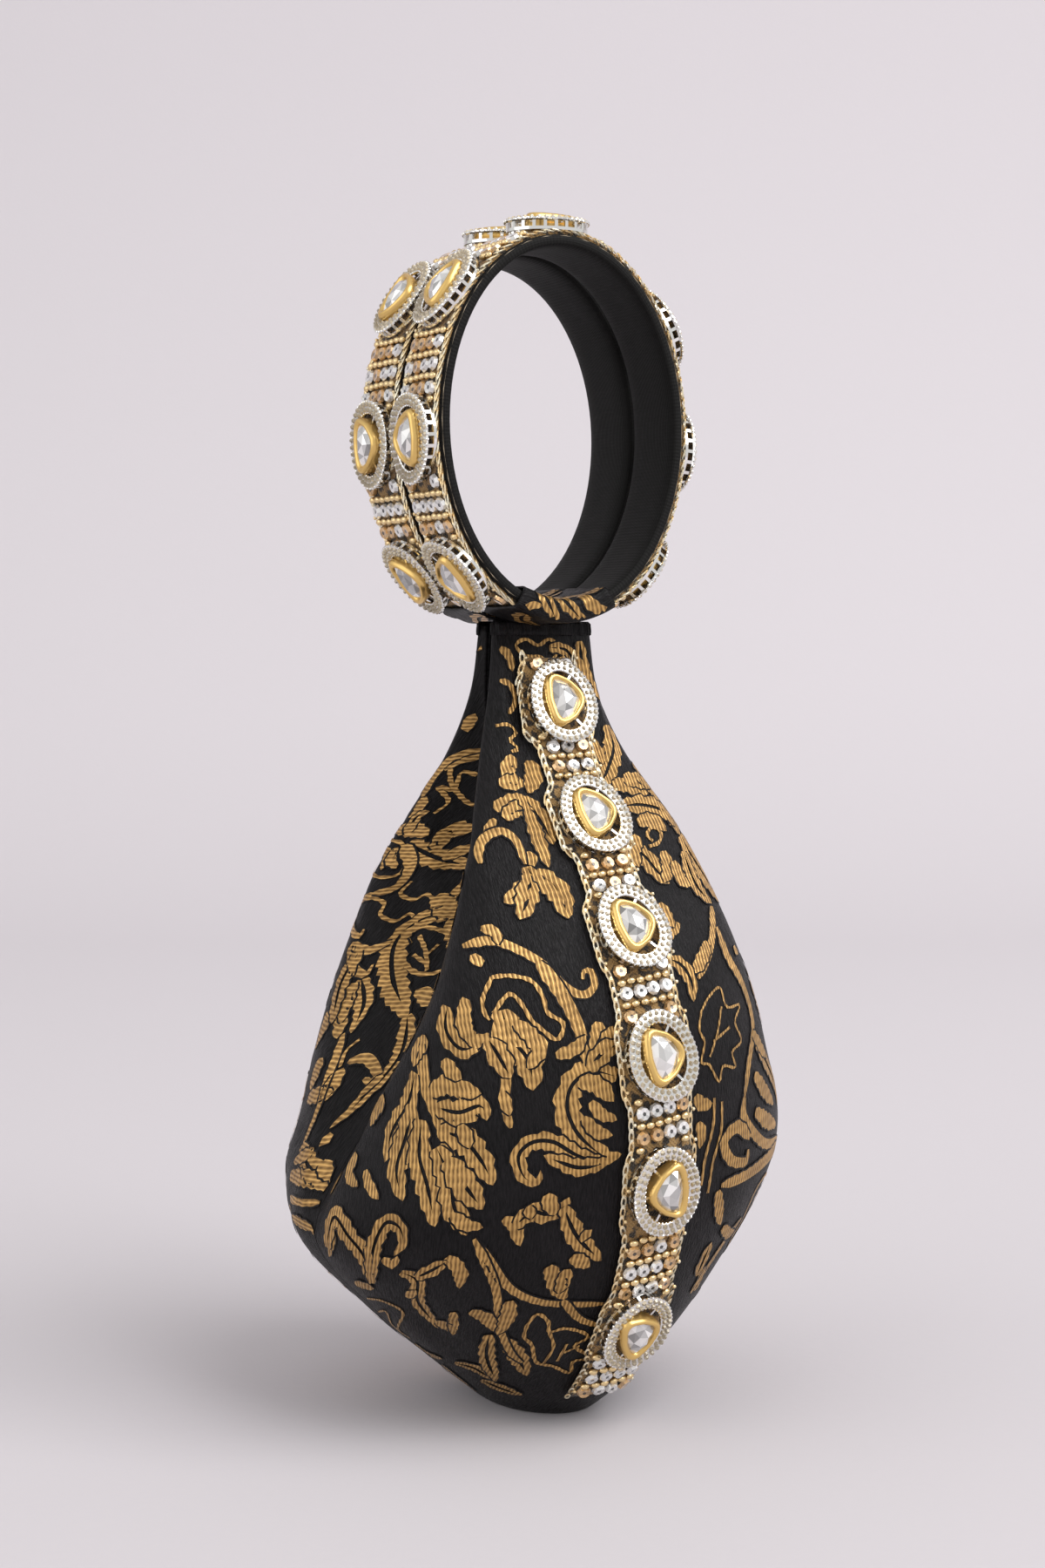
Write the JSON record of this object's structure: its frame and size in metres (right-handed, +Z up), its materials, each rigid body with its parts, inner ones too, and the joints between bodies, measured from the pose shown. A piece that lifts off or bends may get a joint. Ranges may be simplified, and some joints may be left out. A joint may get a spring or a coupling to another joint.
{
  "type": "bangle-handled pouch bag",
  "caption": "Soft brocade pouch bag with two jewelled oval bangle handles that stand side by side, and a jewelled ribbon down its front.",
  "frame": {"origin": "a point of the pouch's small flat bottom, under the middle of its depth", "axes": "+Z up, -Y out of the jewelled front panel, +X to the bag's right as seen from the front"},
  "size_m": [0.1138, 0.1101, 0.2731],
  "materials": {
    "brocade": "black satin with a gold scroll weave",
    "lining": "plain black cotton",
    "lace": "black net with sewn gold beads",
    "silver": "silver-tone metal set with small white stones",
    "gold": "polished gold tone",
    "crystal": "clear cut glass",
    "satin": "black satin",
    "core": "plain, hidden"
  },
  "bodies": {
    "pouch": {"front_panel": "brocade", "back_panel": "brocade", "lining": "lining", "trim_ribbon": "lace", "trim_frame_1": "silver", "trim_collet_1": "gold", "trim_crystal_1": "crystal", "trim_frame_2": "silver", "trim_collet_2": "gold", "trim_crystal_2": "crystal", "trim_frame_3": "silver", "trim_collet_3": "gold", "trim_crystal_3": "crystal", "trim_frame_4": "silver", "trim_collet_4": "gold", "trim_crystal_4": "crystal", "trim_frame_5": "silver", "trim_collet_5": "gold", "trim_crystal_5": "crystal", "trim_frame_6": "silver", "trim_collet_6": "gold", "trim_crystal_6": "crystal"},
    "front_bangle": {"front_bangle_lining": "satin", "front_bangle_core": "core", "front_bangle_cover": "lace", "front_bangle_sleeve": "brocade", "front_bangle_frame_1": "silver", "front_bangle_setting_1": "gold", "front_bangle_frame_2": "silver", "front_bangle_setting_2": "gold", "front_bangle_frame_3": "silver", "front_bangle_setting_3": "gold", "front_bangle_frame_4": "silver", "front_bangle_setting_4": "gold", "front_bangle_frame_5": "silver", "front_bangle_setting_5": "gold", "front_bangle_frame_6": "silver", "front_bangle_setting_6": "gold", "front_bangle_frame_7": "silver", "front_bangle_setting_7": "gold"},
    "rear_bangle": {"rear_bangle_lining": "satin", "rear_bangle_core": "core", "rear_bangle_cover": "lace", "rear_bangle_sleeve": "brocade", "rear_bangle_frame_1": "silver", "rear_bangle_setting_1": "gold", "rear_bangle_frame_2": "silver", "rear_bangle_setting_2": "gold", "rear_bangle_frame_3": "silver", "rear_bangle_setting_3": "gold", "rear_bangle_frame_4": "silver", "rear_bangle_setting_4": "gold", "rear_bangle_frame_5": "silver", "rear_bangle_setting_5": "gold", "rear_bangle_frame_6": "silver", "rear_bangle_setting_6": "gold", "rear_bangle_frame_7": "silver", "rear_bangle_setting_7": "gold"}
  },
  "joints": [
    {"name": "front_bangle_swing", "type": "hinge", "parent": "pouch", "child": "front_bangle", "pos_m": [0, -0.0013, 0.18], "axis": [1, 0, 0], "range_deg": [0, 50]},
    {"name": "rear_bangle_swing", "type": "hinge", "parent": "pouch", "child": "rear_bangle", "pos_m": [0, 0.0071, 0.18], "axis": [-1, 0, 0], "range_deg": [0, 70]}
  ]
}
